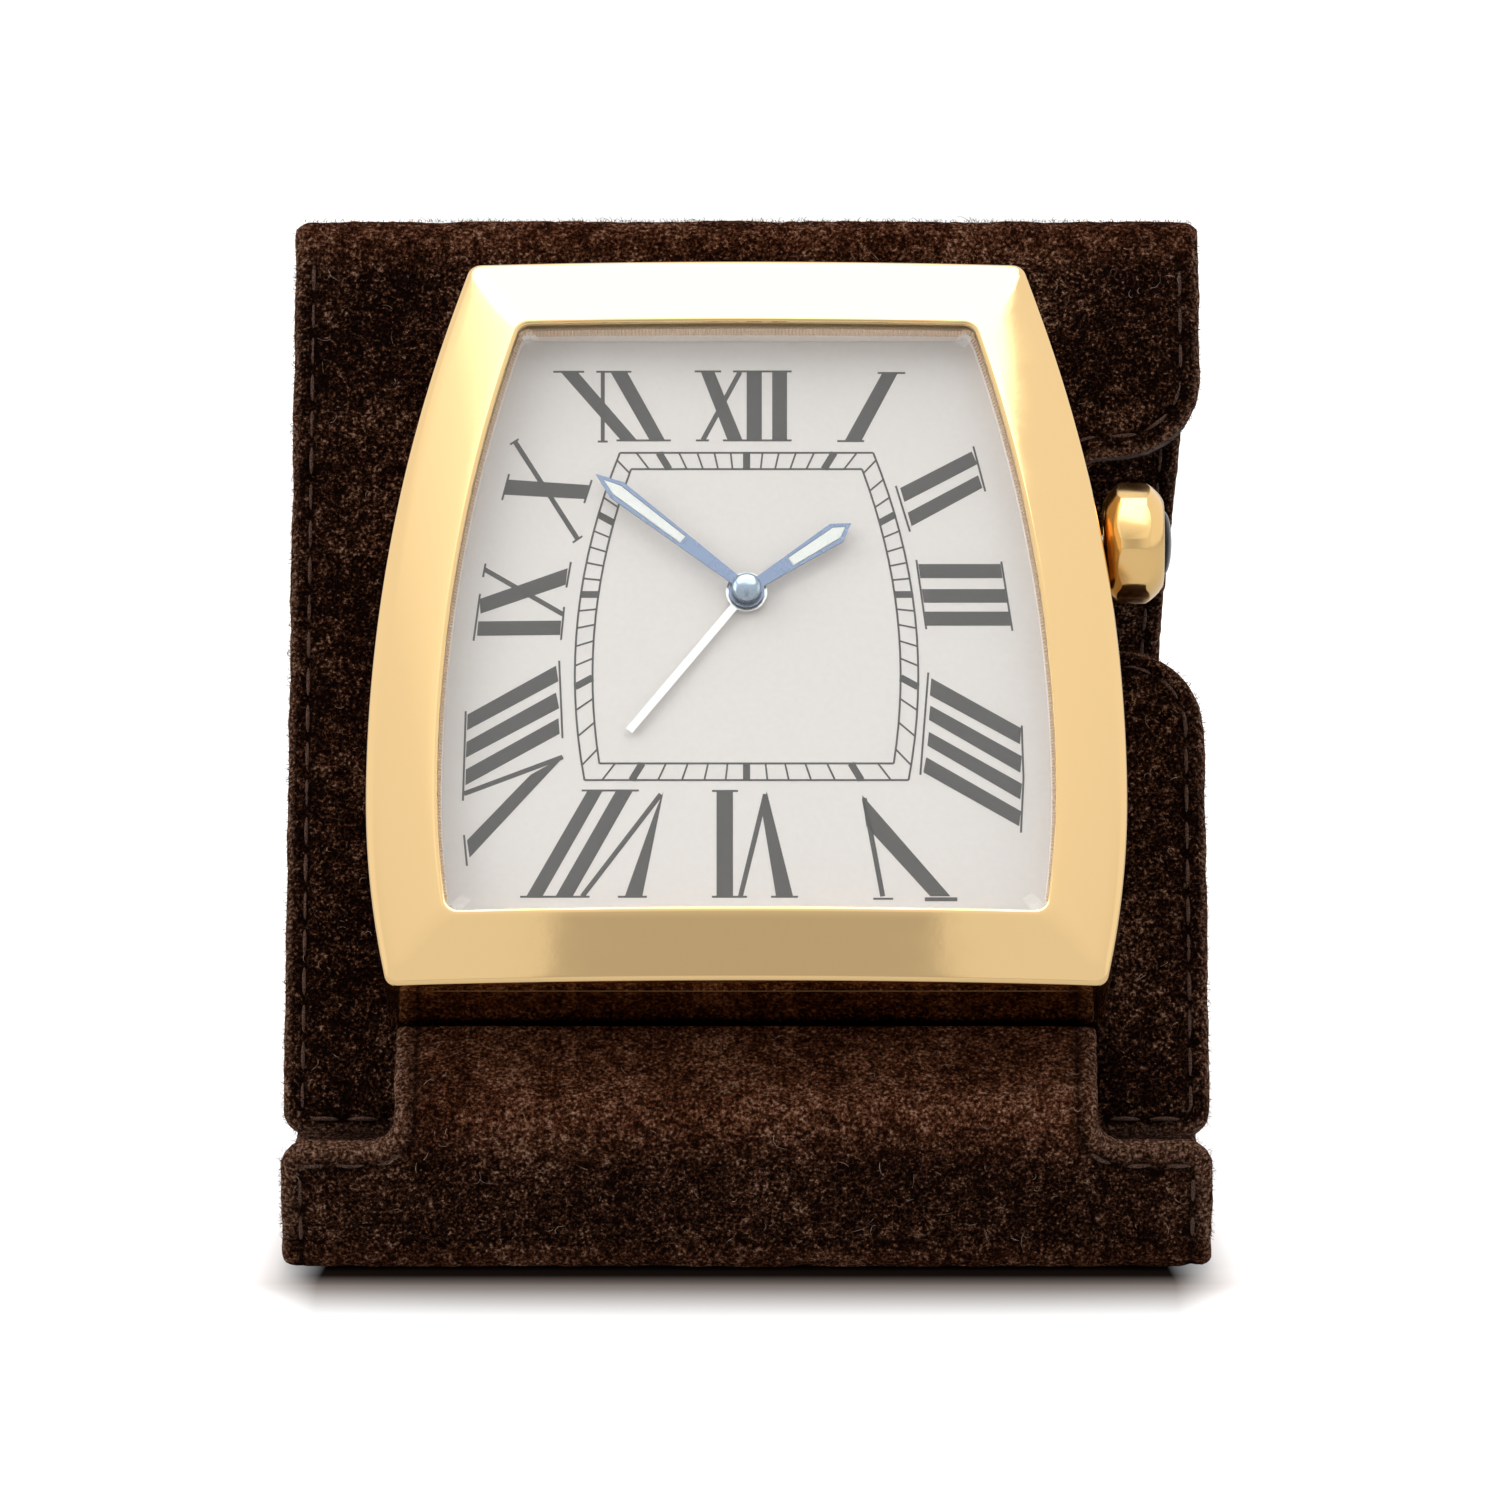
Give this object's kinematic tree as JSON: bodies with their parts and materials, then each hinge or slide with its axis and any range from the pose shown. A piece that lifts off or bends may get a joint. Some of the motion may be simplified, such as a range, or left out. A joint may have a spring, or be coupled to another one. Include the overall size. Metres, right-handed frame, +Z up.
{
  "type": "travel clock",
  "caption": "Barrel-shaped gilt alarm travel clock on a folding brown suede stand: leaning panel, rear leg, front lip and base cover, with a faceted crown at the right.",
  "frame": {"origin": "on the table under the middle of the standing clock's box", "axes": "+Z up, the dial looks towards -Y and up, +X to the right of someone who reads the dial"},
  "size_m": [0.0974, 0.1068, 0.0985],
  "materials": {
    "suede": "napped suede, matt",
    "fold_suede": "napped suede over a rolled fold",
    "lining": "fine suede lining, matt",
    "fibre_board": "bonded leather fibre board",
    "gilt": "gold-plated, mirror polished",
    "inner_gilt": "gilt, satin",
    "steel": "brushed",
    "brass": "turned",
    "dial": "fine matt lacquer",
    "glass": "polished mineral glass",
    "blued": "light blue lacquered steel",
    "silver": "silvered",
    "lume": "white luminous paint",
    "onyx": "polished black cabochon",
    "black_plastic": "moulded",
    "white_plastic": "moulded",
    "circuit": "solder mask",
    "copper": "enamelled copper wire",
    "rubber": "moulded"
  },
  "bodies": {
    "holder": {"panel_suede": "suede", "panel_stiffener": "fibre_board", "panel_lining": "lining", "top_fold_roll": "fold_suede", "cradle_tab": "suede", "panel_screw_1": "steel", "panel_screw_2": "steel", "case_wall": "gilt", "case_back": "steel", "back_screw_1": "steel", "back_screw_2": "steel", "back_screw_3": "steel", "back_screw_4": "steel", "bezel": "gilt", "crystal": "glass", "crystal_gasket": "rubber", "inner_ring": "inner_gilt", "dial": "dial", "movement_ring": "white_plastic", "movement_housing": "black_plastic", "button_cell": "steel", "cell_contact": "brass", "motor_coil": "copper", "circuit_board": "circuit", "buzzer_disc": "brass", "crown_tube": "brass"},
    "minute_arbor": {"cannon_pinion": "brass", "minute_hand": "blued", "minute_hand_lume": "lume", "arbor_cap": "blued"},
    "minute_wheel": {"minute_wheel": "brass"},
    "hour_hand": {"hour_wheel": "brass", "hour_hand": "blued", "hour_hand_lume": "lume"},
    "alarm_hand": {"alarm_wheel": "brass", "alarm_hand": "silver"},
    "stem_yoke": {"stem_yoke": "steel"},
    "crown": {"crown": "gilt", "crown_stem": "steel", "crown_cabochon": "onyx"},
    "rear_leg": {"leg_suede": "suede", "leg_stiffener": "fibre_board", "leg_lining": "lining"},
    "front_lip": {"lip_suede": "suede", "lip_stiffener": "fibre_board", "lip_lining": "lining", "lip_fold_roll": "fold_suede"},
    "base_cover": {"base_suede": "suede", "base_stiffener": "fibre_board", "base_lining": "lining", "floor_fold_roll": "fold_suede"}
  },
  "joints": [
    {"name": "minute_turn", "type": "hinge", "parent": "holder", "child": "minute_arbor", "pos_m": [0, -0.01304, 0.05864], "axis": [0, 0.8192, -0.5736], "continuous": true},
    {"name": "minute_wheel_turn", "type": "hinge", "parent": "holder", "child": "minute_wheel", "pos_m": [0.0035, -0.01652, 0.05368], "axis": [0, 0.8192, -0.5736], "continuous": true},
    {"name": "hour_turn", "type": "hinge", "parent": "holder", "child": "hour_hand", "pos_m": [0, -0.01304, 0.05864], "axis": [0, 0.8192, -0.5736], "continuous": true},
    {"name": "alarm_set", "type": "hinge", "parent": "holder", "child": "alarm_hand", "pos_m": [0, -0.01304, 0.05864], "axis": [0, 0.8192, -0.5736], "continuous": true},
    {"name": "crown_pull", "type": "slide", "parent": "holder", "child": "stem_yoke", "axis": [1, 0, 0], "range_m": [0, 0.002]},
    {"name": "crown_turn", "type": "hinge", "parent": "stem_yoke", "child": "crown", "pos_m": [0, -0.01492, 0.06991], "axis": [1, 0, 0], "continuous": true},
    {"name": "leg_fold", "type": "hinge", "parent": "holder", "child": "rear_leg", "pos_m": [0, 0.01589, 0.09387], "axis": [-1, 0, 0], "range_deg": [0, 54.7]},
    {"name": "lip_fold", "type": "hinge", "parent": "holder", "child": "front_lip", "pos_m": [0, -0.05182, 0.01768], "axis": [-1, 0, 0], "range_deg": [0, 138]},
    {"name": "base_fold", "type": "hinge", "parent": "front_lip", "child": "base_cover", "pos_m": [0, -0.04811, 0.0016], "axis": [-1, 0, 0], "range_deg": [0, 167]}
  ],
  "couplings": [
    {"joint": "minute_wheel_turn", "follows": "minute_turn", "ratio": -0.33333},
    {"joint": "hour_turn", "follows": "minute_turn", "ratio": 0.083333},
    {"joint": "lip_fold", "follows": "leg_fold", "ratio": 2.5228}
  ]
}
